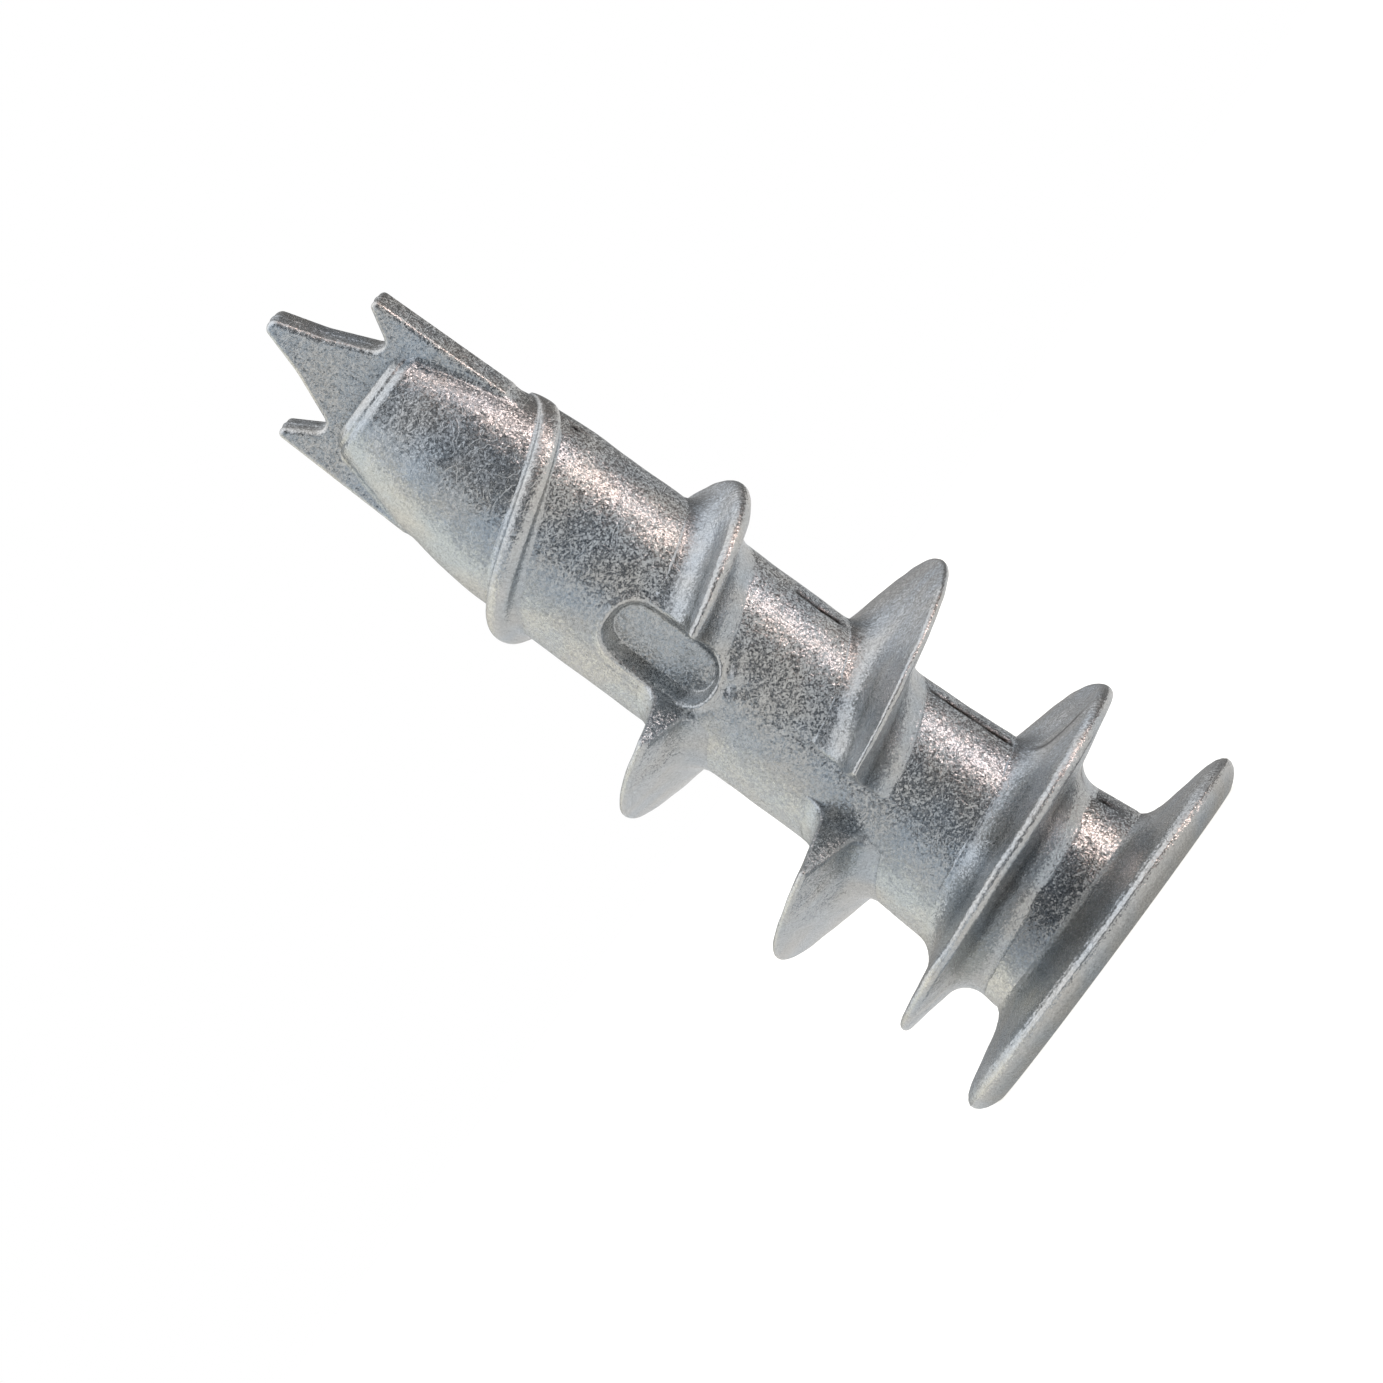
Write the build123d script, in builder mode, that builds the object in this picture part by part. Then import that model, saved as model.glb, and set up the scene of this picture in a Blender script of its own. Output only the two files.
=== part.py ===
from build123d import *
import os
from math import ceil, cos, radians, sin

# Self-drilling wall anchor for plasterboard, a zinc die casting. Millimetres.
# The origin is the centre of the head's flat face. +Z runs along the axis to the drill tip, so the
# anchor stands on its head. The blade lies in the XZ plane, which is also the die's parting plane.

# Head flange
head_radius = 6.60
head_face_radius = 6.10
rim_height = 0.50                # the widest line of the rim, above the face
flange_height = 1.90             # where the flange has run out into the barrel
flange_slope = [(6.50, 0.72), (6.15, 0.87), (5.25, 1.12), (4.30, 1.38), (3.85, 1.58)]   # radius, height

# Barrel: the outer radius at heights along the axis
barrel_outline = [(1.90, 3.66), (2.90, 3.55), (6.50, 3.25), (9.00, 3.11), (16.30, 3.09),
                  (21.00, 3.07), (23.00, 3.00), (24.40, 2.80), (26.30, 2.42), (27.80, 2.02)]
nose_height = 28.20              # the barrel's closed end
nose_rounding = 0.30

# Screw bore, blind, and the cross recess for the driver bit
bore_radius = 1.60
bore_depth = 25.00
entry_radius = 1.95
entry_depth = 6.00
recess_mouth_radius = 3.05
recess_root_radius = 1.90
recess_depth = 5.00
recess_slot_width = 1.15

# Oblong pocket in the front of the barrel
pocket_width = 2.15
pocket_length = 3.85
pocket_centre = 16.35            # height
pocket_corner = 0.95
pocket_floor = 2.40              # distance of the flat floor from the axis

# Thread: right-hand, three turns. Angles in degrees round +Z from +X, growing towards the tip.
datum_angle = 22.4
datum_height = 4.85
thread_lead = 6.33
rim_lead = 2.38                  # the last half turn flattens beside the head
crest_radii = [5.92, 6.18, 6.45, 6.25, 5.74, 4.48, 3.72, 3.02]   # each half turn, head to tip
half_crests = [0.15, 0.27, 0.15, 0.15, 0.15, 0.36, 0.38, 0.34]     # the same places
flank_slope = 0.22               # half thickness gained for each millimetre below the crest
section_step = 15.0
root_overlap = 0.45              # a flight starts inside the barrel and is then cut back to it
end_cut_reach = 1.00             # the sloped end's cut goes this far in below the skin
end_cut_height = 4.00            # and is this tall, with the crest in its middle

front_angles = [270.0, 630.0]    # where the thread passes the front, -Y, with a gap
gap_before = 15.0                # a flight ends this far before the front or back line
gap_after = 9.5                  # and the next one starts this far after it, at its root
start_lean = 7.5                 # its sloped end face leans on by this much at the crest
pocket_gap = 20.0                # both flights stop at the pocket's sides
ridge_join = 832.0               # the last flight runs on into the start ridge
ridge_end = 1108.0

# Drill blade
blade_thickness = 1.25
tip_height = 32.00
prong_tip = [(0.22, 31.88), (0.70, 30.35)]                # half width and height down its side
notch = [(1.44, 28.74), (1.64, 28.62), (1.86, 28.72)]     # the rounded root of each notch
spur_height = 29.74
spur_inner = 2.48
spur_outer = 2.68
spur_shoulder = 0.10             # the spur's outer corner is this much lower than its point
wing_outer = 2.90
wing_height = 24.00
blade_edge_rounding = 0.20


def barrel_radius(height):
    """Outer radius of the barrel at a height, straight between the outline's points."""
    for (low, low_radius), (high, high_radius) in zip(barrel_outline, barrel_outline[1:]):
        if height <= high:
            part_way = max(0.0, (height - low) / (high - low))
            return low_radius + part_way * (high_radius - low_radius)
    return barrel_outline[-1][1]


def crest_height(angle):
    """Height of the thread's crest line at an angle."""
    lead = thread_lead if angle >= datum_angle else rim_lead
    return datum_height + lead * (angle - datum_angle) / 360


def along_thread(values, angle):
    """A smooth curve through values given at each half turn of the thread, read at an angle."""
    place = (angle - datum_angle) / 180 + 1
    place = min(max(place, 0.0), len(values) - 1.0)
    index = min(int(place), len(values) - 2)
    t = place - index
    first, last = values[index], values[index + 1]
    before = values[max(index - 1, 0)]
    after = values[min(index + 2, len(values) - 1)]
    return 0.5 * (2 * first + (last - before) * t + (2 * before - 5 * first + 4 * last - after) * t**2
                  + (3 * first - before - 3 * last + after) * t**3)


def polar(radius, angle):
    """A point in the XY plane from its radius and angle."""
    return (radius * cos(radians(angle)), radius * sin(radians(angle)))


def radial_plane(angle, height):
    """Half plane through the axis: local X points outwards, local Y points to the tip."""
    across = (sin(radians(angle)), -cos(radians(angle)), 0)
    return Plane(origin=(0, 0, height), x_dir=(*polar(1, angle), 0), z_dir=across)


# Shapes that are cut away: bore, cross recess and pocket
with BuildPart() as screw_space:
    with BuildSketch(Plane.XY):
        Circle(bore_radius)
    extrude(amount=bore_depth)
    with BuildSketch(Plane.XY):
        Circle(entry_radius)
    extrude(amount=entry_depth)

with BuildPart() as driver_recess:
    Cone(recess_mouth_radius, recess_root_radius, recess_depth, align=(Align.CENTER, Align.CENTER, Align.MIN))
    with BuildSketch(Plane.XY):
        Rectangle(2 * recess_mouth_radius, recess_slot_width)
        Rectangle(recess_slot_width, 2 * recess_mouth_radius)
    extrude(amount=recess_depth, mode=Mode.INTERSECT)

with BuildPart() as pocket_space:
    with BuildSketch(Plane.XZ.offset(pocket_floor)):
        with Locations((0, pocket_centre)):
            RectangleRounded(pocket_width, pocket_length, pocket_corner)
    extrude(amount=head_radius)

# Head flange: a turned shape with a rounded rim, running out into the barrel
with BuildPart() as head_flange:
    with BuildSketch(Plane.XZ):
        with BuildLine():
            face_line = Line((0, 0), (head_face_radius, 0))
            rim = TangentArc(face_line @ 1, (head_radius, rim_height), tangent=face_line % 1)
            slope = Polyline(rim @ 1, *flange_slope, (barrel_outline[0][1], flange_height))
            Polyline(slope @ 1, (0, flange_height), (0, 0))
        make_face()
    revolve(axis=Axis.Z)
    add(screw_space.part, mode=Mode.SUBTRACT)
    add(driver_recess.part, mode=Mode.SUBTRACT)
head_flange.part.label = "head_flange"
export_step(head_flange.part, "parts/head_flange.step")

# Barrel: the outer body is kept whole first, because the flights and the blade are cut back to it
with BuildPart() as barrel_body:
    with BuildSketch(Plane.XZ):
        with BuildLine():
            side = Polyline(*[(radius, height) for height, radius in barrel_outline])
            nose_edge = (barrel_outline[-1][1] - nose_rounding, nose_height)
            Polyline(side @ 1, nose_edge, (0, nose_height), (0, flange_height), side @ 0)
        make_face()
    revolve(axis=Axis.Z)

with BuildPart() as barrel:
    add(barrel_body.part)
    add(screw_space.part, mode=Mode.SUBTRACT)
    add(driver_recess.part, mode=Mode.SUBTRACT)
    add(pocket_space.part, mode=Mode.SUBTRACT)
barrel.part.label = "barrel"
export_step(barrel.part, "parts/barrel.step")

# Drill blade: one flat plate, with a prong between two spurs, and wings on the barrel's nose
with BuildPart() as drill_blade:
    with BuildSketch(Plane.XZ):
        with BuildLine():
            Polyline(
                (0, tip_height),
                *prong_tip,
                *notch,
                (spur_inner, spur_height),
                (spur_outer, spur_height - spur_shoulder),
                (wing_outer, wing_height),
                (0, wing_height),
            )
            mirror(about=Plane.YZ)
        make_face()
    extrude(amount=blade_thickness / 2, both=True)
    long_edges = drill_blade.edges().filter_by(Axis.Y, reverse=True).filter_by(GeomType.LINE)
    outer_edges = [edge for edge in long_edges if abs(edge.center().X) > spur_outer]
    fillet(outer_edges, radius=blade_edge_rounding)
    add(barrel_body.part, mode=Mode.SUBTRACT)
drill_blade.part.label = "drill_blade"
export_step(drill_blade.part, "parts/drill_blade.step")


def make_flight(name, start, end, sloped_start=True):
    """One flight: sections on radial planes joined by a loft, then cut back to the barrel's skin."""
    with BuildPart() as flight:
        steps = ceil((end - start) / section_step)
        for step in range(steps + 1):
            angle = start + (end - start) * step / steps
            height = crest_height(angle)
            crest = along_thread(crest_radii, angle)
            half_crest = along_thread(half_crests, angle)
            root = barrel_radius(height) - root_overlap
            half_root = half_crest + flank_slope * (crest - root)
            with BuildSketch(radial_plane(angle, height)):
                with BuildLine():
                    Polyline((root, -half_root), (crest, -half_crest), (crest, half_crest),
                             (root, half_root), close=True)
                make_face()
        loft()
        add(barrel_body.part, mode=Mode.SUBTRACT)
        add(pocket_space.part, mode=Mode.SUBTRACT)
        add(drill_blade.part, mode=Mode.SUBTRACT)
        if sloped_start:
            low = crest_height(start) - end_cut_height / 2
            root_radius = barrel_radius(crest_height(start))
            inner_radius = root_radius - end_cut_reach
            with BuildSketch(Plane.XY.offset(low)):
                with BuildLine():
                    Polyline(polar(root_radius, start), polar(head_radius, start + start_lean),
                             polar(head_radius, start - start_lean),
                             polar(inner_radius, start - start_lean),
                             polar(inner_radius, start), close=True)
                make_face()
            extrude(amount=end_cut_height, mode=Mode.SUBTRACT)
    flight.part.label = name
    export_step(flight.part, f"parts/{name}.step")


back_angles = [angle - 180 for angle in front_angles]
make_flight("rim_flight", back_angles[0] - 360 + gap_after, back_angles[0] - gap_before)
make_flight("thread_flight_1", back_angles[0] + gap_after, front_angles[0] - gap_before)
make_flight("thread_flight_2", front_angles[0] + gap_after, back_angles[1] - gap_before)
make_flight("thread_flight_3", back_angles[1] + gap_after, front_angles[1] - pocket_gap)
make_flight("thread_flight_4", front_angles[1] + pocket_gap, ridge_join, sloped_start=False)
make_flight("start_ridge", ridge_join, ridge_end, sloped_start=False)
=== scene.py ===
import math

import bmesh
import bpy
import numpy as np
from mathutils import Matrix, Vector


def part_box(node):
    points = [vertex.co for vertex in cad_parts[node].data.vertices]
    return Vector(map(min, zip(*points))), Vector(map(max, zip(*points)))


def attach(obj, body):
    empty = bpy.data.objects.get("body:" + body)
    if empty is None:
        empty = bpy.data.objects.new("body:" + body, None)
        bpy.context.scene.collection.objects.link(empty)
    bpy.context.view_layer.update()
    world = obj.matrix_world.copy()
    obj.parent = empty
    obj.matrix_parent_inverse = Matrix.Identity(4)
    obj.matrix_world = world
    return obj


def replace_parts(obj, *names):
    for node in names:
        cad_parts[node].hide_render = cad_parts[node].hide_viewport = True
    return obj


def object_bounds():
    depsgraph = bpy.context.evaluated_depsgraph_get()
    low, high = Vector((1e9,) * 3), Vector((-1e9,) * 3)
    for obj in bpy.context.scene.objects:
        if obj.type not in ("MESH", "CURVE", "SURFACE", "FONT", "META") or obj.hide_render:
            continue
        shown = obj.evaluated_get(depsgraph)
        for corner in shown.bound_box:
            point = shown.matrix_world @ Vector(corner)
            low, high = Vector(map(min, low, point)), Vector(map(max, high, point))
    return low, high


# A self-drilling plasterboard anchor, cast in zinc alloy. It stands on its head: +Z runs from the
# head's flat face to the drill tip, and the blade lies in the XZ plane, the die's parting plane.
# Shapes are worked out in millimetres and turned to metres when a mesh is made.

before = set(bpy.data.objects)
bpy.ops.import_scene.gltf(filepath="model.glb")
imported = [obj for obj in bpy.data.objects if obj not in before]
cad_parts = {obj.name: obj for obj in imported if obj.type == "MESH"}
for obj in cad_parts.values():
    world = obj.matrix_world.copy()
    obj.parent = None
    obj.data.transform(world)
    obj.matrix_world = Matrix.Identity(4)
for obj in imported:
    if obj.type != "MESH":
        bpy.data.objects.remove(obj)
cad_low, cad_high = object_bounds()
MM = 0.001

# ---------------------------------------------------------------- sizes of the casting
HEAD_RADIUS = cad_high.x / MM
TIP_HEIGHT = cad_high.z / MM
FLANGE_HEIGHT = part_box("head_flange")[1].z / MM
NOSE_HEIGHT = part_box("barrel")[1].z / MM

# the head's outer profile, from its flat face round the rim and up the slope: radius, height
HEAD_OUTLINE = np.array([(5.86, 0.00), (6.00, 0.05), (6.20, 0.14), (6.38, 0.26), (6.51, 0.41), (6.56, 0.57),
                         (6.52, 0.71), (6.39, 0.84), (6.18, 0.95), (5.75, 1.07), (5.30, 1.16), (4.85, 1.26),
                         (4.42, 1.34), (4.10, 1.44), (3.87, 1.55), (3.72, 1.68), (3.62, 1.82), (3.50, 1.95)])

# height and outer radius of the barrel, head end first
BARREL_OUTLINE = np.array([(1.90, 3.66), (2.90, 3.55), (6.50, 3.25), (9.00, 3.11), (12.50, 3.10),
                           (16.30, 3.09), (21.00, 3.07), (23.00, 3.00), (24.40, 2.80),
                           (26.30, 2.42), (27.80, 2.02)])

JOINT_DEPTH = 1.30                   # the barrel's skin is carried down inside the head to this height

# screw bore and cross recess
BORE_RADIUS, BORE_DEPTH = 1.60, 25.0
ENTRY_RADIUS, ENTRY_DEPTH = 1.95, 6.0
RECESS_MOUTH, RECESS_ROOT, RECESS_DEPTH, SLOT_WIDTH = 3.05, 1.90, 5.0, 1.15

# oblong pocket in the front of the barrel
POCKET_WIDTH, POCKET_LENGTH, POCKET_CENTRE = 2.15, 3.85, 16.35
POCKET_CORNER, POCKET_FLOOR = 0.95, 2.40

# thread: angle of the datum crossing, lead, and the crest's radius at each half turn
DATUM_ANGLE, DATUM_HEIGHT = 22.4, 4.85
THREAD_LEAD, RIM_LEAD = 6.33, 2.38
CREST_RADII = np.array([5.92, 6.18, 6.45, 6.25, 5.74, 4.48, 3.72, 3.02])
HALF_CRESTS = np.array([0.15, 0.27, 0.15, 0.15, 0.15, 0.36, 0.38, 0.34])
FLANK_SLOPE = 0.17
START_LEAN = 7.5
FRONT_GAP, BACK_GAP = 270.0, 450.0   # first passes of the front, -Y, and of the back with a gap
GAP_BEFORE, GAP_AFTER, POCKET_GAP = 15.0, 9.5, 20.0
RIDGE_JOIN, RIDGE_END = 832.0, 1108.0
ROOT_FILLET = 0.80
HEAD_SIDE_FILLET, TIP_SIDE_FILLET = 1.05, 0.9   # how far each fillet spreads, over its height
FOOT_LENGTH = 0.28                  # the fillets close in over this length before a flight's end

# drill blade
BLADE_THICKNESS, SPUR_HEIGHT, WING_OUTER, WING_HEIGHT = 1.25, 29.74, 2.90, 24.00
# the nose's stepped edge: how far in from the skin, height
NOSE_LIP = np.array([(0.00, 27.55), (0.02, 27.66), (0.09, 27.78), (0.17, 27.85), (0.20, 27.93), (0.23, 28.00),
                     (0.31, 28.08), (0.39, 28.16), (0.49, 28.20)])
GROOVE_RUNS = [(2.9, 0.5), (7.7, 1.7), (13.4, 1.0), (22.5, 0.3)]   # middle height, half length
POCKET_WALL = 0.16                   # the pocket's wall runs in by this much from the lip to the floor
FLOOR_TILT = 0.13                    # the pocket's floor rises by this much for each mm towards +X
LIP_HEIGHT = 0.035                   # the raised lip round the pocket
MOUTH_ROUNDING = 0.12                # radius where the recess meets the head's face
BARREL_INSIDE = 2.6                  # points further from the axis than this are on the barrel's outside

# the die's parting mark: where it lies, its half width and its height or depth, along the skin
RIDGE_OFFSET, RIDGE_WIDTH, RIDGE_HEIGHT = 0.24, 0.080, 0.018
GROOVE_WIDTH, GROOVE_DEPTH = 0.12, 0.08
# painted shade along the parting groove, standing in for the shadow in the die's step: its half width and
# strength
BARREL_SHADE_WIDTH, BARREL_SHADE_STRENGTH = 0.16, 1.4
NECK_PAINTED_SHADE = 0.45                    # painted shade in the neck behind the head: how dark it makes the skin
RIM_PARTING_SHADE = 0.9                      # how strong the painted shade of the parting line across the rim flight is

# flights: the grid's steps in degrees, and the shape of their ends and crests
LONG_STEP, SHORT_STEP = 2.0, 0.4
END_ROUNDING = 0.10                  # radius of a flight's end edges
CROWN_SHARE, FILLET_SHARE = 0.45, 0.55   # the most of its height that the crest and the fillet may take
START_THINNING, THINNING_FADE = 0.30, 25.0   # a flight is thinner at its start; the fade is in degrees
LEAN_FADE = 14.0                     # degrees over which a sloped end's lean dies out
WORN_BAND = 0.10                     # width of the polished band at the crest
FLANK_SHADE_WIDTH = 0.15                   # half width of the painted shade along the parting line across a flank
END_FACE_SHADE = 0.15                    # painted shade on the flights' end faces
SEAM_GAP = 0.0005                    # points nearer than this are one point


# ---------------------------------------------------------------- small tools
def smooth_step(x):
    """Goes from 0 to 1 as x does, level at both ends: 3x^2 - 2x^3."""
    x = np.clip(x, 0, 1)
    return x * x * (3 - 2 * x)


def bell(x, middle, width):
    """A bell curve: 1 at the middle, and next to nothing at twice the width from it."""
    return np.exp(-((x - middle) / width) ** 2)


def smooth_max(a, b, width):
    """The larger of a and b, with the corner between them rounded over the width."""
    h = np.clip(0.5 + 0.5 * (a - b) / width, 0, 1)
    return b + (a - b) * h + width * h * (1 - h)


def smooth_min(a, b, width):
    """The smaller of a and b, with the corner rounded over the width."""
    return -smooth_max(-a, -b, width)


def spline(x, knots, values):
    """A smooth curve through the values: cubic Hermite pieces with the neighbours' mean slope."""
    slopes = np.gradient(values, knots)
    i = np.clip(np.searchsorted(knots, x) - 1, 0, len(knots) - 2)
    step = knots[i + 1] - knots[i]
    t = np.clip((x - knots[i]) / step, 0, 1)
    a = values[i] + slopes[i] * step * t
    b = values[i + 1] - slopes[i + 1] * step * (1 - t)
    straight_mix = smooth_step(t)
    return a * (1 - straight_mix) + b * straight_mix


def ranges(*spans):
    """Joins spans of (start, end, step) into one rising row of values."""
    rows = [np.linspace(a, b, max(2, int(round(abs(b - a) / s)) + 1)) for a, b, s in spans]
    return np.unique(np.round(np.concatenate(rows), 5))


def waviness(x, y, z, size=0.018):
    """The casting's slight unevenness: three long crossing ripples added up, in mm."""
    return size * (np.sin(1.9 * z + 1.3 * x + 0.4) * np.cos(1.1 * y - 0.7 * z)
                   + 0.6 * np.sin(3.1 * x - 2.3 * z + 1.7) * np.sin(2.7 * y + 0.9)
                   + 0.4 * np.sin(5.3 * z + 3.7 * y + 2.1) * np.cos(4.1 * x)) / 2


def grid_faces(rows, columns, closed):
    """Quads of a grid of points; closed joins the last column to the first."""
    i = np.arange(rows - 1)[:, None]
    j = np.arange(columns if closed else columns - 1)[None, :]
    k = (j + 1) % columns
    return np.stack([i * columns + j, i * columns + k, (i + 1) * columns + k, (i + 1) * columns + j],
                    axis=-1).reshape(-1, 4)


def make_piece(name, points, faces, material, marks, flat=None):
    """Makes a closed mesh piece from points in mm, merges seams and poles and faces it outwards.

    marks holds rows of 0 to 1 at each point: wear, how far tumbling has polished a crest, a mark of how much
    painted shade darkens the skin along the parting line, in the neck and on flights' end faces, and burnish,
    how smooth the die left the skin. flat is true at each flat face."""
    mesh = bpy.data.meshes.new(name)
    mesh.from_pydata((points * MM).tolist(), [], faces)
    smooth = np.ones(len(faces), dtype=bool) if flat is None else ~flat
    mesh.polygons.foreach_set("use_smooth", smooth)
    for mark, values in marks.items():
        attribute = mesh.attributes.new(mark, "FLOAT", "POINT")
        attribute.data.foreach_set("value", values.ravel().astype(np.float32))
    shape = bmesh.new()
    shape.from_mesh(mesh)
    bmesh.ops.remove_doubles(shape, verts=shape.verts, dist=SEAM_GAP * MM)
    bmesh.ops.recalc_face_normals(shape, faces=shape.faces)
    shape.to_mesh(mesh)
    shape.free()
    mesh.materials.append(material)
    piece = bpy.data.objects.new(name, mesh)
    bpy.context.collection.objects.link(piece)
    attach(piece, "root")
    return piece


# ---------------------------------------------------------------- the thread's path and the barrel's skin
def crest_height(angle):
    """Height of the crest line: the lead for each full turn, flatter beside the head."""
    turned = (angle - DATUM_ANGLE) / 360
    return DATUM_HEIGHT + np.where(turned >= 0, THREAD_LEAD, RIM_LEAD) * turned


def along_thread(values, angle):
    """A smooth curve through values given at each half turn of the thread."""
    return spline((angle - DATUM_ANGLE) / 180 + 1, np.arange(len(values)), values)


def crest_radius(angle):
    """Radius of the crest: a smooth curve through the value at each half turn."""
    return along_thread(CREST_RADII, angle)


def barrel_radius(height):
    """The barrel's outer radius: a smooth curve through the outline's points."""
    return spline(height, BARREL_OUTLINE[:, 0], BARREL_OUTLINE[:, 1])


def recess_radius(angle, height):
    """Inner wall near the head: the entry circle joined to four slots that narrow with height.

    A slot's outline in polar form is the smaller of its end radius and its side, half width / sin."""
    from_arm = np.radians((angle + 45) % 90 - 45)
    deep = np.clip(height / RECESS_DEPTH, 0, 1)
    slot_end = RECESS_MOUTH + (RECESS_ROOT - RECESS_MOUTH) * deep
    slot_side = SLOT_WIDTH / 2 / np.maximum(np.abs(np.sin(from_arm)), 0.02)
    slot = smooth_min(slot_end, slot_side, 0.12)
    return smooth_max(np.full_like(slot, ENTRY_RADIUS), slot, 0.10)


def from_parting(angle, height):
    """Distance along the skin from the parting line, which wanders a little as it climbs."""
    wander = 0.035 * np.sin(1.7 * height + 0.6) + 0.02 * np.sin(5.1 * height)
    return np.radians((angle + 90) % 180 - 90) * barrel_radius(height) - wander


def groove_share(height):
    """Where along its height the parting groove shows, 0 to 1: four runs with soft, uneven ends."""
    share = 0 * height
    for middle, half_length in GROOVE_RUNS:
        share = np.maximum(share, smooth_step((half_length - np.abs(height - middle)) / 0.25))
    return share * (0.75 + 0.25 * np.sin(7.0 * height) * np.sin(3.1 * height + 0.5))


def parting_line(angle, height):
    """The die's parting mark along +X and -X: a low ridge beside a broken fine groove.

    Both are bell curves of the distance from the line."""
    from_line = from_parting(angle, height)
    ridge = bell(from_line, RIDGE_OFFSET, RIDGE_WIDTH)
    groove = bell(from_line, 0, GROOVE_WIDTH)
    strength = 0.35 + 0.65 * smooth_step(np.sin(0.9 * height + 1.1) + 0.6)
    return RIDGE_HEIGHT * strength * ridge - GROOVE_DEPTH * groove_share(height) * groove


def parting_line_shade(angle, height):
    """Painted shade along the parting groove: a dark line standing in for the shadow in the die halves' step.
    """
    from_line = from_parting(angle, height)
    return np.clip(BARREL_SHADE_STRENGTH * groove_share(height) * bell(from_line, 0, BARREL_SHADE_WIDTH), 0, 1)


def pocket_blend(x, height):
    """How far a point is into the pocket, 0 outside to 1 on its floor, and its lip's height.

    Both read the signed distance to the rounded oblong outline."""
    dx = np.abs(x) - POCKET_WIDTH / 2 + POCKET_CORNER
    dz = np.abs(height - POCKET_CENTRE) - POCKET_LENGTH / 2 + POCKET_CORNER
    outside = np.hypot(np.maximum(dx, 0), np.maximum(dz, 0)) + np.minimum(np.maximum(dx, dz), 0)
    outside = outside - POCKET_CORNER
    lip = LIP_HEIGHT * bell(outside, 0.10, 0.09) - 0.012 * bell(outside, 0.34, 0.05)
    return smooth_step(-outside / POCKET_WALL + 0.12), lip


def flow_lumps(x, height):
    """Low lumps where the metal met beside the pocket's head end: crossing waves in a soft patch."""
    patch = np.exp(-((x - 0.55) / 0.75) ** 2 - ((height - 14.1) / 0.55) ** 2)
    return 0.045 * patch * (np.sin(7.3 * x + 4.1 * height) + np.sin(9.7 * height - 5.2 * x + 1.0))


def barrel_skin(angle, height):
    """Outer radius of the cast barrel: outline, parting mark, unevenness, blade fillet and pocket."""
    turn = np.radians(angle)
    plain = barrel_radius(height)
    radius = plain + parting_line(angle, height)
    radius = radius + waviness(plain * np.cos(turn), plain * np.sin(turn), height)
    plate_side = (BLADE_THICKNESS / 2 - 0.02) / np.maximum(np.abs(np.sin(turn)), 0.05)
    plate = np.minimum(plate_side, WING_OUTER - 0.10)
    with_blade = smooth_max(radius, plate, 0.40)
    radius = np.where(height > WING_HEIGHT, radius + (with_blade - radius)
                      * smooth_step((height - WING_HEIGHT) / 1.2), radius)
    inside, lip = pocket_blend(plain * np.cos(turn), height)
    lip = lip + flow_lumps(plain * np.cos(turn), height)
    front = np.sin(turn) < -0.3
    floor_radius = (POCKET_FLOOR + FLOOR_TILT * plain * np.cos(turn)) / np.maximum(-np.sin(turn), 0.3)
    return np.where(front, radius + lip + (floor_radius - radius - lip) * inside, radius)


# ---------------------------------------------------------------- pieces
def turned_grid(radius, height, angle):
    """Points of a shape in polar form: rows run along the profile, columns round the axis."""
    turn = np.radians(angle)
    return np.stack([radius * np.cos(turn), radius * np.sin(turn), height + 0 * radius], axis=-1)


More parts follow.
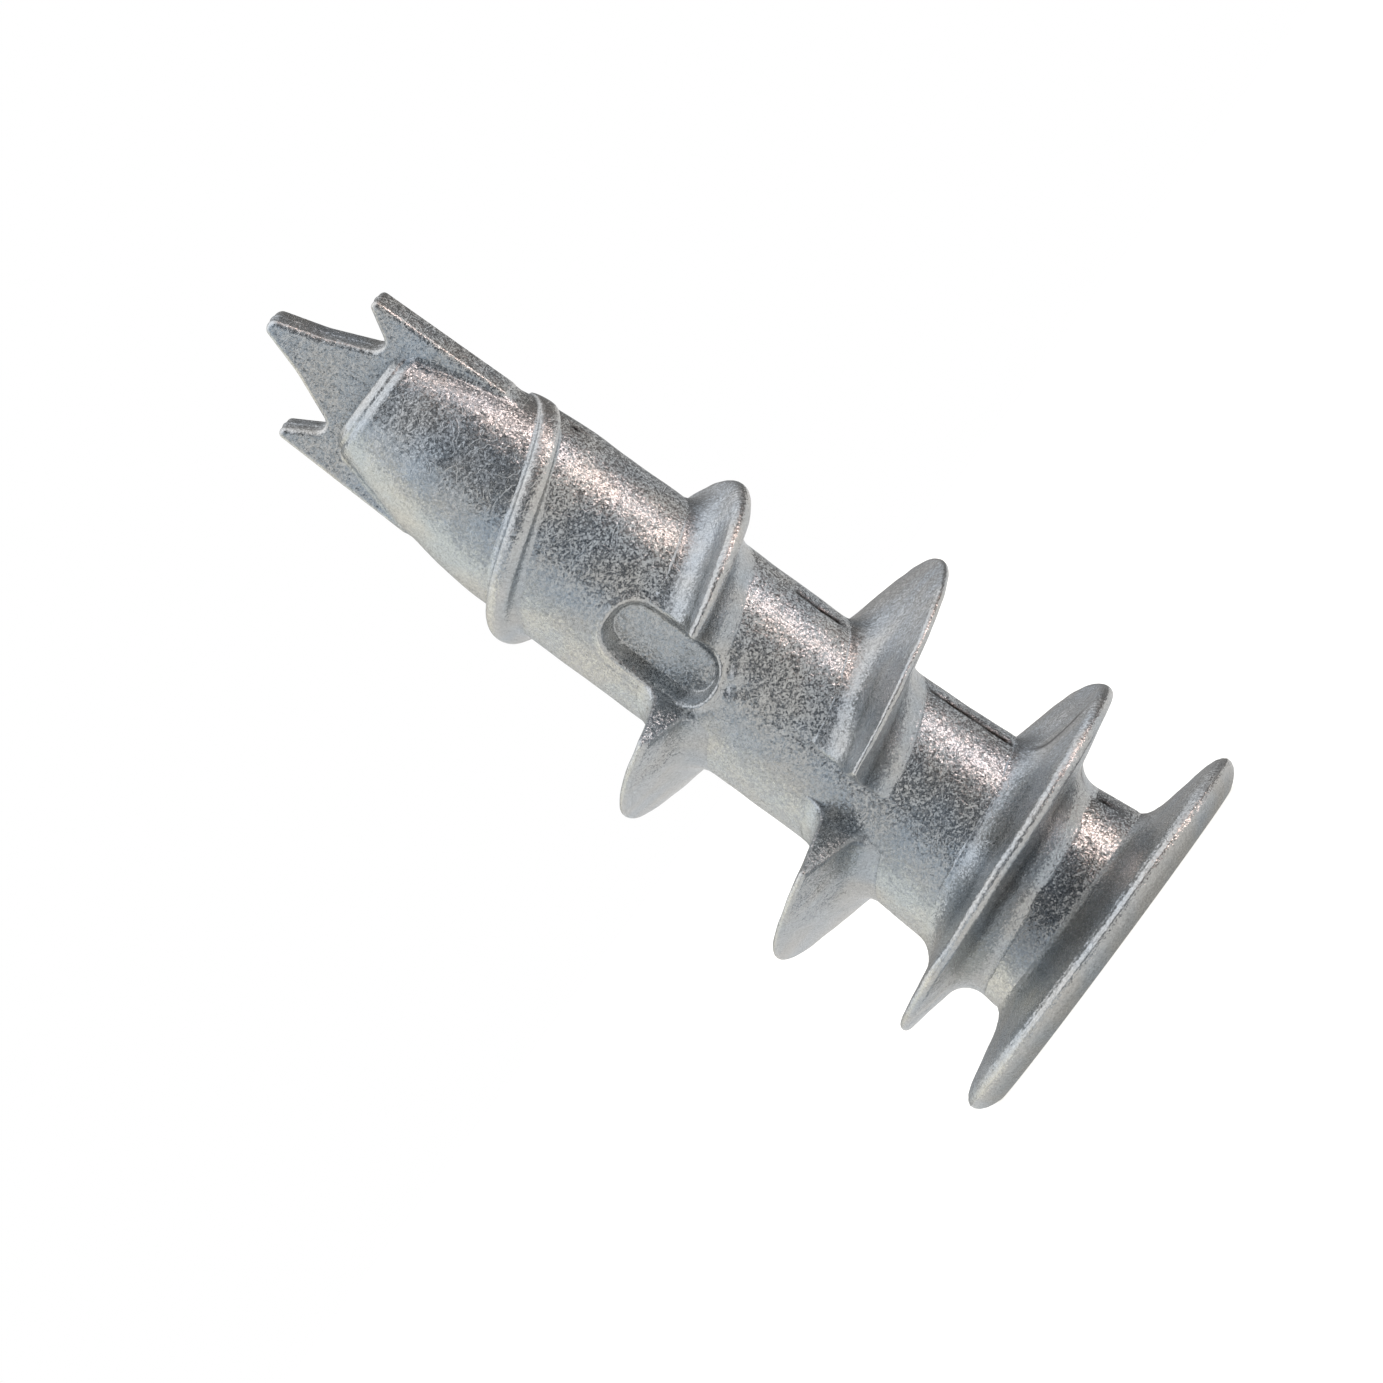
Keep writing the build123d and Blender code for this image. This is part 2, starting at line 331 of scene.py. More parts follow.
def make_barrel(material):
    """The hollow barrel as one closed grid over (profile, angle).

    The profile runs from the bore's blind end down its wall, over the joint with the head, up the
    outer skin and over the rounded nose to the axis."""
    angle = np.concatenate([ranges((-90, 240, 1.6), (-6, 6, 0.5), (174, 186, 0.5)),
                            ranges((240.4, 269.9, 0.55))])[None, :]
    angle = np.concatenate([angle, ranges((-119.5, -90.4, 0.55))[None, :]], axis=1)
    angle = np.unique(np.round(angle % 360, 3))[None, :]
    bore_height = ranges((ENTRY_DEPTH + 0.4, BORE_DEPTH - 0.3, 1.2))[::-1]
    recess_height = ranges((FLANGE_HEIGHT, ENTRY_DEPTH, 0.25))[::-1]
    skin_height = ranges((JOINT_DEPTH, 27.55, 0.30), (14.1, 15.1, 0.055), (17.7, 18.7, 0.055))
    nose_ring = np.array([0.75, 0.5, 0.25, 0.0])

    rows = [turned_grid(np.full_like(angle, r), np.full_like(angle, h), angle) for r, h in
            ((0.0, BORE_DEPTH), (0.8, BORE_DEPTH - 0.02), (BORE_RADIUS - 0.25, BORE_DEPTH - 0.06))]
    bore = np.repeat(bore_height[:, None], angle.size, axis=1)
    rows.append(turned_grid(np.full_like(bore, BORE_RADIUS), bore, angle))
    recess = np.repeat(recess_height[:, None], angle.size, axis=1)
    rows.append(turned_grid(recess_radius(angle, recess), recess, angle))
    for radius, height in ((3.20, FLANGE_HEIGHT), (3.30, JOINT_DEPTH), (3.50, JOINT_DEPTH)):
        rows.append(turned_grid(np.full_like(angle, radius), np.full_like(angle, height), angle))
    skin = np.repeat(skin_height[:, None], angle.size, axis=1)
    rows.append(turned_grid(barrel_skin(angle, skin), skin, angle))
    shoulder = barrel_skin(angle, np.full_like(angle, NOSE_LIP[0, 1]))
    along = np.linspace(0, len(NOSE_LIP) - 1, 30)[1:]
    drop = spline(along, np.arange(len(NOSE_LIP)), NOSE_LIP[:, 0])[:, None]
    lip_height = spline(along, np.arange(len(NOSE_LIP)), NOSE_LIP[:, 1])[:, None]
    rows.append(turned_grid(shoulder - drop, lip_height, angle))
    rows.append(turned_grid((shoulder - NOSE_LIP[-1, 0]) * nose_ring[:, None],
                            np.full((nose_ring.size, 1), NOSE_HEIGHT), angle))
    points = np.concatenate([row.reshape(-1, angle.size, 3) for row in rows])
    height, radius = points[..., 2], np.hypot(points[..., 0], points[..., 1])
    outer = radius > BARREL_INSIDE
    wear = 0.5 * bell(height, NOSE_HEIGHT, 0.25) * (radius > 1.2)
    lip = pocket_blend(points[..., 0], height)[1]
    wear = wear + np.where((points[..., 1] < -1) & outer, np.clip(lip / LIP_HEIGHT, 0, 1), 0) * 0.8
    faces = grid_faces(points.shape[0], angle.size, closed=True)
    turn = np.degrees(np.arctan2(points[..., 1], points[..., 0]))
    # painted shade along the parting groove: a dark line standing in for the shadow in the die's step
    painted_shade = parting_line_shade(turn, height) * (height > FLANGE_HEIGHT + 0.05)
    # painted shade in the neck behind the head, in two lobes round the axis, one near the front, -Y side
    round_neck = np.clip(np.sin(np.radians(2 * turn + 220 + 9 * height)), 0, 1)
    neck = NECK_PAINTED_SHADE * bell(height, 2.3, 0.8) * round_neck
    painted_shade = np.maximum(painted_shade, neck) * outer
    burnish = smooth_step((5.2 - height) / 1.2) * outer
    marks = {"wear": wear, "painted_shade": painted_shade, "burnish": burnish}
    return make_piece("cast_barrel", points.reshape(-1, 3), faces.tolist(), material, marks)


def make_head(material):
    """The flange as a grid closed both ways over (profile, angle).

    The profile runs down the recess wall, over the face, round the rim and up the flange's slope."""
    angle = np.arange(0, 360, 0.75)[None, :]
    recess_height = ranges((MOUTH_ROUNDING, FLANGE_HEIGHT, 0.16))[::-1][:, None] + 0 * angle
    mouth = recess_radius(angle, 0 * angle)
    mouth_turn = np.radians(np.linspace(18, 90, 5))[:, None]
    face_share = np.linspace(0.08, 1, 14)[:, None]
    along = np.linspace(0, len(HEAD_OUTLINE) - 1, 70)[1:]
    slope_radius = spline(along, np.arange(len(HEAD_OUTLINE)), HEAD_OUTLINE[:, 0])[:, None]
    slope_height = spline(along, np.arange(len(HEAD_OUTLINE)), HEAD_OUTLINE[:, 1])[:, None]

    rows = [turned_grid(recess_radius(angle, recess_height), recess_height, angle)]
    rows.append(turned_grid(mouth + MOUTH_ROUNDING * (1 - np.cos(mouth_turn)),
                            MOUTH_ROUNDING * (1 - np.sin(mouth_turn)), angle))
    inner = mouth + MOUTH_ROUNDING
    face_radius = inner + (HEAD_OUTLINE[0, 0] - inner) * face_share
    rows.append(turned_grid(face_radius, 0 * face_radius, angle))
    turn = np.radians(angle)
    dents = waviness(slope_radius * np.cos(turn), slope_radius * np.sin(turn), slope_height, 0.022)
    fade = smooth_step((slope_height - 0.3) / 0.3) * smooth_step((FLANGE_HEIGHT - slope_height) / 0.2)
    rows.append(turned_grid(slope_radius + 0 * angle, slope_height + dents * fade, angle))
    points = np.concatenate([row.reshape(-1, angle.size, 3) for row in rows])
    faces = grid_faces(points.shape[0] + 1, angle.size, closed=True) % (points.shape[0] * angle.size)
    radius = np.hypot(points[..., 0], points[..., 1])
    wear = bell(radius, HEAD_RADIUS, 0.10) * 0.9
    return make_piece("cast_head_flange", points.reshape(-1, 3), faces.tolist(), material, {"wear": wear})


def make_flight(name, start, end, material, lean=0.0, end_faces=(True, True), parting_shade=0.0):
    """One flight: its profile carried along the helix, as a grid over (angle, way round the profile).

    Height above the skin b gives the half thickness: half crest + slope x (crest - b) + root fillet,
    and the crest is half an ellipse. A sloped start leans on by the given degrees at the crest. The last
    argument is how strong the painted shade is where the die's parting line crosses the flanks."""
    edge = END_ROUNDING
    steps = ranges((start, end, LONG_STEP), (start, start + 6, SHORT_STEP), (end - 6, end, SHORT_STEP))
    crossings = 180 * np.arange(math.ceil((start + 8) / 180), math.floor((end - 8) / 180) + 1)
    for crossing in crossings:
        steps = np.unique(np.concatenate([steps, ranges((crossing - 3, crossing + 3, SHORT_STEP))]))
    from_end = np.minimum(np.radians(steps - start) if end_faces[0] else np.full_like(steps, 9.0),
                          np.radians(end - steps) if end_faces[1] else np.full_like(steps, 9.0)) * 4.5
    rounding = np.clip(1 - from_end / edge, 0, 1)
    inset = edge * (1 - np.sqrt(1 - rounding ** 2))
    thin = np.ones_like(steps)
    order = np.concatenate([[0, 0, 0], np.arange(steps.size), [steps.size - 1] * 3])
    steps, inset = steps[order], inset[order]
    thin = np.concatenate([[0, 0.35, 0.7], thin, [0.7, 0.35, 0]])

    centre = crest_height(steps)[:, None]
    skin = barrel_radius(centre)
    tall = crest_radius(steps)[:, None] - skin - 0.6 * inset[:, None]
    half_crest = along_thread(HALF_CRESTS, steps)[:, None]
    crown = np.minimum(half_crest, CROWN_SHARE * tall)
    fillet = np.minimum(ROOT_FILLET, FILLET_SHARE * tall)
    fillet_turn = np.radians(np.array([90, 82, 73, 63, 52, 40, 27, 14, 0]))
    fillet_share = np.concatenate([[-0.5, -0.02], 1 - np.sin(fillet_turn)])[None, :]
    flank_share = np.array([0.12, 0.28, 0.45, 0.62, 0.80, 1.0])[None, :]
    crest_turn = np.radians(np.array([15, 30, 45, 60, 75, 90]))[None, :]
    top = tall - crown
    b_flank = fillet + (top - fillet) * flank_share
    b = np.concatenate([fillet * fillet_share, b_flank, top + crown * np.sin(crest_turn)], axis=1)
    in_fillet = np.clip(b / fillet, 0.0, 1)
    flare = fillet * (1 - np.sqrt(np.clip(1 - (1 - in_fillet) ** 2, 0, 1)))
    crest_part = np.clip((b - top) / crown, 0, 1)
    half = half_crest * np.sqrt(np.clip(1 - crest_part ** 2, 0, 1)) + FLANK_SLOPE * np.maximum(top - b, 0)
    near_start = np.exp(-(steps[:, None] - start) / THINNING_FADE) * end_faces[0]
    closing = np.sqrt(1 - np.clip(1 - from_end[order][:, None] / FOOT_LENGTH, 0, 1) ** 2)
    core = half * (1 - START_THINNING * near_start) - inset[:, None]
    low_side = np.maximum(core + HEAD_SIDE_FILLET * closing * flare, 0) * thin[:, None]
    tip_side = TIP_SIDE_FILLET * (1 + 0.8 * near_start)
    high_side = np.maximum(core + tip_side * closing * flare, 0) * thin[:, None]
    b = np.concatenate([b, b[:, -2::-1]], axis=1)
    offset = np.concatenate([-low_side, high_side[:, -2::-1]], axis=1)
    share = np.clip(b / tall, 0, 1)
    leaning = lean * share * np.exp(-(steps[:, None] - start) / LEAN_FADE)
    angle = steps[:, None] + leaning
    height = crest_height(angle) + offset
    radius = barrel_radius(height) + b
    turn = np.radians(angle)
    x, y = radius * np.cos(turn), radius * np.sin(turn)
    height = height + waviness(x, y, height, 0.035) * smooth_step(b / 0.8) * smooth_step(np.abs(offset) / 0.1)
    points = np.stack([x, y, height], axis=-1)
    wear = bell(tall - b, 0, WORN_BAND) * (0.75 + 0.25 * np.sin(steps * 0.21))[:, None]
    on_edge = bell(inset[:, None], 0.4 * edge, 0.35 * edge) * (thin[:, None] > 0.9)
    wear = np.maximum(wear, on_edge * smooth_step((share - 0.05) / 0.15))
    # painted shade: a dark line where the die's parting line crosses the flanks, standing in for the shadow
    # in the die's step
    painted_shade = parting_shade * bell(y, 0, FLANK_SHADE_WIDTH) * smooth_step(share / 0.15) * smooth_step((0.85 - share) / 0.15)
    # painted shade on the flights' end faces
    painted_shade = np.maximum(painted_shade, END_FACE_SHADE * (thin[:, None] < 0.9) * smooth_step((0.9 - share) / 0.4))
    faces = grid_faces(points.shape[0], points.shape[1], closed=True)
    strip = np.arange(len(faces)) // points.shape[1]
    flat = (strip < 3) | (strip > points.shape[0] - 5)
    marks = {"wear": wear, "painted_shade": painted_shade}
    return make_piece(name, points.reshape(-1, 3), faces.tolist(), material, marks, flat)


def rounded_outline(corners, spacing):
    """A closed outline with each corner (x, z, radius) rounded by an arc, sampled evenly."""
    corners = np.array(corners, dtype=float)
    place, radii = corners[:, :2], corners[:, 2:3]
    before = np.roll(place, 1, axis=0) - place
    after = np.roll(place, -1, axis=0) - place
    before = before / np.linalg.norm(before, axis=1, keepdims=True)
    after = after / np.linalg.norm(after, axis=1, keepdims=True)
    half_angle = np.arccos(np.clip((before * after).sum(axis=1, keepdims=True), -1, 1)) / 2
    reach = radii / np.tan(half_angle)
    share = np.linspace(0, 1, 13)[None, :, None]
    a, b, c = (place + before * reach)[:, None], place[:, None], (place + after * reach)[:, None]
    weight = np.sin(half_angle)[:, None]
    blend = (1 - share) ** 2, 2 * share * (1 - share) * weight, share ** 2
    arcs = (blend[0] * a + blend[1] * b + blend[2] * c) / (blend[0] + blend[1] + blend[2])
    line = arcs.reshape(-1, 2)
    line = np.concatenate([line, line[:1]])
    run = np.concatenate([[0], np.cumsum(np.hypot(*np.diff(line, axis=0).T))])
    keep = np.concatenate([[True], np.diff(run) > 1e-6])
    even = np.linspace(0, run[-1], int(run[-1] / spacing) + 1)[:-1]
    return np.stack([np.interp(even, run[keep], line[keep, i]) for i in (0, 1)], axis=-1)


def make_blade(material):
    """The flat drill blade: its outline carried through the thickness, a grid over (way round, depth).

    The depth profile rounds both long edges and leaves a fine parting ridge in the middle."""
    half = [(0.0, TIP_HEIGHT + 0.62, 0.30), (0.72, 30.35, 3.0), (1.60, 28.38, 0.28),
            (2.74, SPUR_HEIGHT + 0.46, 0.20), (WING_OUTER - 0.03, 24.75, 0.40), (2.30, WING_HEIGHT, 0.25)]
    mirrored = [(-x, z, r) for x, z, r in half[:0:-1]]
    outline = rounded_outline(half + mirrored, 0.055)
    along = np.roll(outline, -1, axis=0) - np.roll(outline, 1, axis=0)
    along = along / np.linalg.norm(along, axis=1, keepdims=True)
    outward = np.stack([-along[:, 1], along[:, 0]], axis=-1)

    thick, edge = BLADE_THICKNESS / 2, 0.17
    turn = np.radians(np.linspace(0, 90, 7))
    depth = np.concatenate([-thick + edge * (1 - np.cos(turn)), [-0.12, -0.06, 0.0, 0.06, 0.12],
                            thick - edge * (1 - np.cos(turn[::-1]))])
    inset = np.concatenate([edge * (1 - np.sin(turn)), np.zeros(5), edge * (1 - np.sin(turn[::-1]))])
    ridge = 0.03 * bell(depth, 0, 0.05) - 0.02
    shift = (ridge - inset)[None, :, None]
    place = outline[:, None] + outward[:, None] * shift
    points = np.stack([place[..., 0], np.broadcast_to(depth, place.shape[:2]), place[..., 1]], axis=-1)
    count, deep = points.shape[:2]
    faces = grid_faces(deep, count, closed=True)
    points = points.transpose(1, 0, 2).reshape(-1, 3)
    ring = np.arange(count)
    faces = faces.tolist() + [ring.tolist(), (ring[::-1] + (deep - 1) * count).tolist()]
    wear = np.repeat(bell(inset, 0.03, 0.05) * (np.abs(depth) > 0.3), count)
    return make_piece("cast_drill_blade", points, faces, material, {"wear": wear},
                      np.arange(len(faces)) >= len(faces) - 2)


# ---------------------------------------------------------------- materials
def linear(hex_colour):
    """Turns an sRGB hex colour into linear red, green, blue and alpha."""
    parts = [int(hex_colour[i:i + 2], 16) / 255 for i in (1, 3, 5)]
    return tuple(c / 12.92 if c <= 0.04045 else ((c + 0.055) / 1.055) ** 2.4 for c in parts) + (1.0,)


def add_node(tree, kind, settings=None, values=None, links=None):
    """Adds a node: settings are its properties, values its sockets, links the sockets fed to it."""
    node = tree.nodes.new(kind)
    for key, value in (settings or {}).items():
        setattr(node, key, value)
    for key, value in (values or {}).items():
        node.inputs[key].default_value = value
    for key, source in (links or {}).items():
        tree.links.new(source, node.inputs[key])
    return node


NOISE_FEATURE = 0.8                  # a noise texture's blotches measure about this over its scale
PATCH, MOTTLE, PEEL, SCRATCH = 1.5 * MM, 0.075 * MM, 0.20 * MM, 0.5 * MM   # sizes of the skin's patterns
FACET = 0.06 * MM                    # coarser than the real crystals, so that their glitter shows


def cast_zinc_material():
    """Zinc die-casting alloy as it leaves the tumbler.

    It is bright grey metal. The die leaves a fine orange-peel grain, the chilled skin shows crystal
    facets that glitter, and tumbling polishes the crests and leaves short scratches."""
    material = bpy.data.materials.new("as_cast_zinc_alloy")
    material.use_nodes = True
    tree = material.node_tree
    tree.nodes.clear()
    place = add_node(tree, "ShaderNodeTexCoord").outputs["Object"]
    wear, painted_shade, burnish = (add_node(tree, "ShaderNodeAttribute", {"attribute_name": name}).outputs["Fac"]
                            for name in ("wear", "painted_shade", "burnish"))

    # colour: cool and warm grey patches about 1.5 mm across, finer mottling, paler where worn
    patches = add_node(tree, "ShaderNodeTexNoise", None, {"Scale": NOISE_FEATURE / PATCH, "Detail": 2.0},
                       {"Vector": place})
    tint = add_node(tree, "ShaderNodeValToRGB", None, None, {"Fac": patches.outputs["Fac"]})
    tint.color_ramp.elements[0].position, tint.color_ramp.elements[0].color = 0.36, linear("#C3CAD0")
    tint.color_ramp.elements[1].position, tint.color_ramp.elements[1].color = 0.64, linear("#CDCDCB")
    mottle = add_node(tree, "ShaderNodeTexNoise", None,
                      {"Scale": NOISE_FEATURE / MOTTLE, "Detail": 4.0, "Roughness": 0.75}, {"Vector": place})
    darker = add_node(tree, "ShaderNodeMapRange", None,
                      {"From Min": 0.35, "From Max": 0.65, "To Min": 0.74, "To Max": 1.14},
                      {"Value": mottle.outputs["Fac"]})
    grey = add_node(tree, "ShaderNodeVectorMath", {"operation": "SCALE"}, None,
                    {0: tint.outputs["Color"], "Scale": darker.outputs["Result"]})
    worn_share = add_node(tree, "ShaderNodeMath", {"operation": "MULTIPLY"}, {1: 0.30}, {0: wear})
    colour = add_node(tree, "ShaderNodeMix", {"data_type": "RGBA"}, {7: linear("#EFE9E0")},
                      {0: worn_share.outputs[0], 6: grey.outputs["Vector"]})
    # painted shade: darkens the colour towards near black along the parting line, in the neck and on the
    # flights' end faces
    shaded_colour = add_node(tree, "ShaderNodeMix", {"data_type": "RGBA"}, {7: linear("#2E2A27")},
                       {0: painted_shade, 6: colour.outputs[2]})

    # crystal facets of the chilled skin: each cell is a plane with its own random tilt
    cells = add_node(tree, "ShaderNodeTexVoronoi", None, {"Scale": 1 / FACET}, {"Vector": place})
    scaled = add_node(tree, "ShaderNodeVectorMath", {"operation": "SCALE"}, {"Scale": 1 / FACET}, {0: place})
    from_centre = add_node(tree, "ShaderNodeVectorMath", {"operation": "SUBTRACT"}, None,
                           {0: scaled.outputs["Vector"], 1: cells.outputs["Position"]})
    tilt = add_node(tree, "ShaderNodeVectorMath", {"operation": "SUBTRACT"}, {1: (0.5, 0.5, 0.5)},
                    {0: cells.outputs["Color"]})
    facet = add_node(tree, "ShaderNodeVectorMath", {"operation": "DOT_PRODUCT"}, None,
                     {0: from_centre.outputs["Vector"], 1: tilt.outputs["Vector"]})
    facets = add_node(tree, "ShaderNodeBump", None, {"Strength": 1.0, "Distance": 0.26 * FACET},
                      {"Height": facet.outputs["Value"]})

    # orange-peel grain left by the die's surface
    peel = add_node(tree, "ShaderNodeTexNoise", None,
                    {"Scale": NOISE_FEATURE / PEEL, "Detail": 4.0, "Roughness": 0.6}, {"Vector": place})
    peeled = add_node(tree, "ShaderNodeBump", None, {"Strength": 1.0, "Distance": 0.030 * MM},
                      {"Height": peel.outputs["Fac"], "Normal": facets.outputs["Normal"]})

    # short tumbling scratches: thin level lines of a stretched noise
    turned = add_node(tree, "ShaderNodeMapping", None,
                      {"Rotation": (0.7, 0.5, 0.9), "Scale": (1.0, 0.12, 1.0)}, {"Vector": place})
    streaks = add_node(tree, "ShaderNodeTexNoise", None,
                       {"Scale": NOISE_FEATURE / SCRATCH, "Detail": 1.0, "Distortion": 0.6},
                       {"Vector": turned.outputs["Vector"]})
    off_line = add_node(tree, "ShaderNodeMath", {"operation": "SUBTRACT"}, {1: 0.5},
                        {0: streaks.outputs["Fac"]})
    width = add_node(tree, "ShaderNodeMath", {"operation": "ABSOLUTE"}, None, {0: off_line.outputs[0]})
    scratch = add_node(tree, "ShaderNodeMapRange", None,
                       {"From Min": 0.0, "From Max": 0.012, "To Min": 1.0, "To Max": 0.0},
                       {"Value": width.outputs[0]})
    scratched = add_node(tree, "ShaderNodeBump", {"invert": True}, {"Strength": 0.5, "Distance": 0.010 * MM},
                         {"Height": scratch.outputs["Result"], "Normal": peeled.outputs["Normal"]})

    # gloss: satin, patchy, smoother where worn
    satin = add_node(tree, "ShaderNodeMapRange", None,
                     {"From Min": 0.3, "From Max": 0.7, "To Min": 0.13, "To Max": 0.32},
                     {"Value": mottle.outputs["Fac"]})
    gloss = add_node(tree, "ShaderNodeMix", {"data_type": "FLOAT"}, {3: 0.22},
                     {0: wear, 2: satin.outputs["Result"]})
    smoother = add_node(tree, "ShaderNodeMath", {"operation": "MULTIPLY_ADD"}, {1: -0.06},
                        {0: burnish, 2: gloss.outputs[0]})
    shader = add_node(tree, "ShaderNodeBsdfPrincipled", None, {"Metallic": 1.0},
                      {"Base Color": shaded_colour.outputs[2], "Roughness": smoother.outputs[0],
                       "Normal": scratched.outputs["Normal"]})
    add_node(tree, "ShaderNodeOutputMaterial", None, None, {"Surface": shader.outputs["BSDF"]})
    return material


zinc = cast_zinc_material()

# ---------------------------------------------------------------- the anchor
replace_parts(make_head(zinc), "head_flange")
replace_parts(make_barrel(zinc), "barrel")
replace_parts(make_blade(zinc), "drill_blade")
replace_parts(make_flight("cast_rim_flight", BACK_GAP - 720 + GAP_AFTER, BACK_GAP - 360 - GAP_BEFORE,
                        zinc, START_LEAN, parting_shade=RIM_PARTING_SHADE), "rim_flight")
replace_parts(make_flight("cast_thread_flight_1", BACK_GAP - 360 + GAP_AFTER, FRONT_GAP - GAP_BEFORE,
                        zinc, START_LEAN), "thread_flight_1")
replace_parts(make_flight("cast_thread_flight_2", FRONT_GAP + GAP_AFTER, BACK_GAP - GAP_BEFORE,
                        zinc, START_LEAN), "thread_flight_2")
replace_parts(make_flight("cast_thread_flight_3", BACK_GAP + GAP_AFTER, FRONT_GAP + 360 - POCKET_GAP,
                        zinc, START_LEAN), "thread_flight_3")
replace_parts(make_flight("cast_thread_flight_4", FRONT_GAP + 360 + POCKET_GAP, RIDGE_JOIN,
                        zinc, 0.0, (True, False)), "thread_flight_4")
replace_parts(make_flight("cast_start_ridge", RIDGE_JOIN, RIDGE_END,
                        zinc, 0.0, (False, True)), "start_ridge")

# ---------------------------------------------------------------- floor, light and camera
VIEW_TURN = math.radians(22.4)       # the camera stands this far round from -Y towards +X
VIEW_ROLL = math.radians(36.55)      # the anchor's axis slopes down to the right by this much
FRAME_WIDTH = 42.0 * MM
CAMERA_DISTANCE = 0.70
AIM_UP, AIM_RIGHT = -1.84 * MM, -0.03 * MM   # from the anchor's middle

towards_camera = Vector((math.sin(VIEW_TURN), -math.cos(VIEW_TURN), 0))
side = Vector((math.cos(VIEW_TURN), math.sin(VIEW_TURN), 0))
tip = Vector((0, 0, 1))
right = -math.cos(VIEW_ROLL) * tip + math.sin(VIEW_ROLL) * side
up = math.sin(VIEW_ROLL) * tip + math.cos(VIEW_ROLL) * side
look_at = Vector((0, 0, TIP_HEIGHT / 2 * MM)) + AIM_UP * up + AIM_RIGHT * right

camera_data = bpy.data.cameras.new("camera")
camera_data.sensor_width = 36.0
camera_data.lens = 36.0 * CAMERA_DISTANCE / FRAME_WIDTH
camera_data.clip_start, camera_data.clip_end = 0.01, 20.0
camera = bpy.data.objects.new("camera", camera_data)
stand = Matrix.Translation(look_at + towards_camera * CAMERA_DISTANCE)
camera.matrix_world = stand @ Matrix((right, up, towards_camera)).transposed().to_4x4()
bpy.context.collection.objects.link(camera)
bpy.context.scene.camera = camera

CEILING = 1.25                       # brightness overhead
KEY_BEARING = math.radians(77)       # from the camera, towards +X
KEY_RISE = 0.10                      # how far the key light leans towards the tip
KEY_DISTANCE, KEY_WIDTH, KEY_HEIGHT, KEY_POWER = 0.30, 0.03, 0.12, 0.085
FLOOR_LEVEL = -0.02 * MM             # a hair under the head's face, so that the two don't lie in one plane
FLOOR_BOUNCE, FLOOR_GLOW = 0.36, 0.55
# bearing from the camera in degrees (plus is towards +X), brightness, tint
ROOM_WALLS = [(-180, 0.34, "#F4F4F4"), (-140, 0.98, "#FFFDF4"), (-105, 1.15, "#FFFDF2"),
              (-78, 0.60, "#FBFBF8"),
              (-50, 0.70, "#E4EFFA"), (-20, 0.08, "#CCE2FA"), (26, 0.07, "#D4E2F6"), (54, 0.10, "#FFF2EC"),
              (72, 0.90, "#FFEAE4"), (87, 1.00, "#FFEAE4"), (101, 0.20, "#FFF4F0"), (150, 0.18, "#F4F4F4"),
              (180, 0.34, "#F4F4F4")]


def soft_box(name, direction, distance, width, height, power, colour):
    """An area light that faces the middle of the anchor from the given direction."""
    light = bpy.data.lights.new(name, "AREA")
    light.shape = "RECTANGLE"
    light.size, light.size_y = width, height
    light.energy = power
    light.color = linear(colour)[:3]
    lamp = bpy.data.objects.new(name, light)
    lamp.location = Vector((0, 0, TIP_HEIGHT / 2 * MM)) + direction.normalized() * distance
    lamp.rotation_mode = "QUATERNION"
    lamp.rotation_quaternion = direction.to_track_quat("Z", "Y")
    bpy.context.collection.objects.link(lamp)


def make_floor():
    """A plain white floor. It looks white by its own glow, and sends little light back up."""
    mesh = bpy.data.meshes.new("studio_floor")
    reach = 3.0
    mesh.from_pydata([(-reach, -reach, FLOOR_LEVEL), (reach, -reach, FLOOR_LEVEL),
                      (reach, reach, FLOOR_LEVEL), (-reach, reach, FLOOR_LEVEL)],
                     [], [(0, 1, 2, 3)])
    paint = bpy.data.materials.new("matt_white_paint")
    paint.use_nodes = True
    tree = paint.node_tree
    tree.nodes.clear()
    seen = add_node(tree, "ShaderNodeLightPath").outputs["Is Camera Ray"]
    matt = add_node(tree, "ShaderNodeBsdfDiffuse", None, {"Color": linear("#B8B8B8")})
    glow_level = add_node(tree, "ShaderNodeMath", {"operation": "MULTIPLY_ADD"},
                          {1: FLOOR_GLOW, 2: FLOOR_BOUNCE}, {0: seen})
    glow = add_node(tree, "ShaderNodeEmission", None, {"Color": linear("#FFFDF8")},
                    {"Strength": glow_level.outputs[0]})
    mixed = add_node(tree, "ShaderNodeAddShader", None, None, {0: matt.outputs[0], 1: glow.outputs[0]})
    add_node(tree, "ShaderNodeOutputMaterial", None, None, {"Surface": mixed.outputs[0]})
    mesh.materials.append(paint)
    floor = bpy.data.objects.new("studio_floor", mesh)
    bpy.context.collection.objects.link(floor)


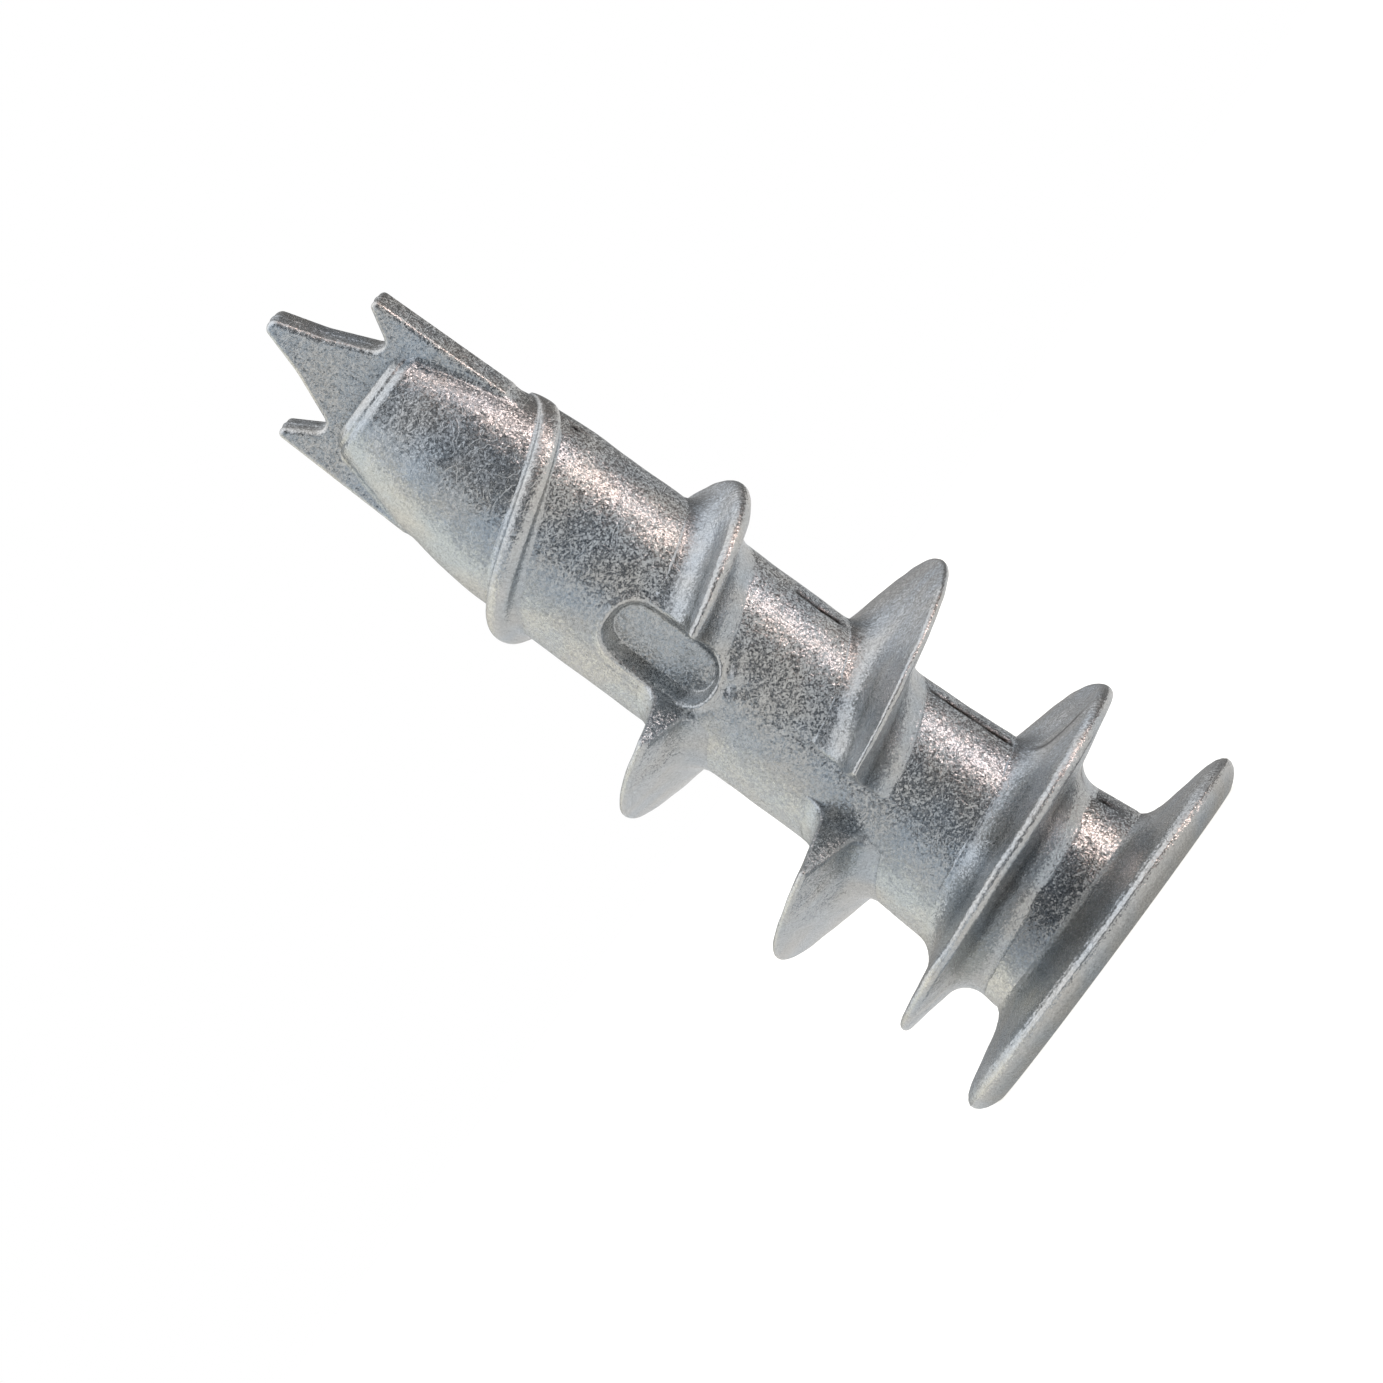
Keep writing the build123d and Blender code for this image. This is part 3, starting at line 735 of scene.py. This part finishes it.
def make_room():
    """The studio round the anchor: brightness and tint by compass direction, from the camera's side.

    The direction's bearing is arctan2(along side, along towards_camera), turned to 0 to 1 for the ramp.
    What the camera sees directly is plain white."""
    world = bpy.data.worlds.new("studio")
    bpy.context.scene.world = world
    world.use_nodes = True
    tree = world.node_tree
    tree.nodes.clear()
    direction = add_node(tree, "ShaderNodeTexCoord").outputs["Generated"]
    across = add_node(tree, "ShaderNodeVectorMath", {"operation": "DOT_PRODUCT"}, {1: side}, {0: direction})
    ahead = add_node(tree, "ShaderNodeVectorMath", {"operation": "DOT_PRODUCT"}, {1: towards_camera},
                     {0: direction})
    bearing = add_node(tree, "ShaderNodeMath", {"operation": "ARCTAN2"}, None,
                       {0: across.outputs["Value"], 1: ahead.outputs["Value"]})
    turn = add_node(tree, "ShaderNodeMath", {"operation": "MULTIPLY_ADD"}, {1: 1 / math.tau, 2: 0.5},
                    {0: bearing.outputs[0]})
    ramp = add_node(tree, "ShaderNodeValToRGB", None, None, {"Fac": turn.outputs[0]})
    ramp.color_ramp.interpolation = "EASE"
    while len(ramp.color_ramp.elements) < len(ROOM_WALLS):
        ramp.color_ramp.elements.new(0.5)
    for element, (degrees, level, tint) in zip(ramp.color_ramp.elements, ROOM_WALLS):
        element.position = degrees / 360 + 0.5
        element.color = [level * c for c in linear(tint)[:3]] + [1.0]
    height = add_node(tree, "ShaderNodeSeparateXYZ", None, None, {0: direction}).outputs["Z"]
    overhead = add_node(tree, "ShaderNodeMapRange", {"interpolation_type": "SMOOTHSTEP"},
                        {"From Min": 0.20, "From Max": 0.95}, {"Value": height})
    ceiling_colour = [CEILING * c for c in linear("#F6F8FC")[:3]] + [1]
    walls = add_node(tree, "ShaderNodeMix", {"data_type": "RGBA"}, {7: ceiling_colour},
                     {0: overhead.outputs["Result"], 6: ramp.outputs["Color"]})
    room = add_node(tree, "ShaderNodeBackground", None, {"Strength": 1.0}, {"Color": walls.outputs[2]})
    white = add_node(tree, "ShaderNodeBackground", None, {"Color": (1, 1, 1, 1), "Strength": 1.0})
    seen = add_node(tree, "ShaderNodeLightPath").outputs["Is Camera Ray"]
    mixed = add_node(tree, "ShaderNodeMixShader", None, None,
                     {0: seen, 1: room.outputs[0], 2: white.outputs[0]})
    add_node(tree, "ShaderNodeOutputWorld", None, None, {"Surface": mixed.outputs[0]})


make_floor()
make_room()
key_direction = math.cos(KEY_BEARING) * towards_camera + math.sin(KEY_BEARING) * side + KEY_RISE * tip
soft_box("key_soft_box", key_direction, KEY_DISTANCE, KEY_WIDTH, KEY_HEIGHT, KEY_POWER, "#FFE9E2")
bpy.context.scene.view_settings.view_transform = "Standard"
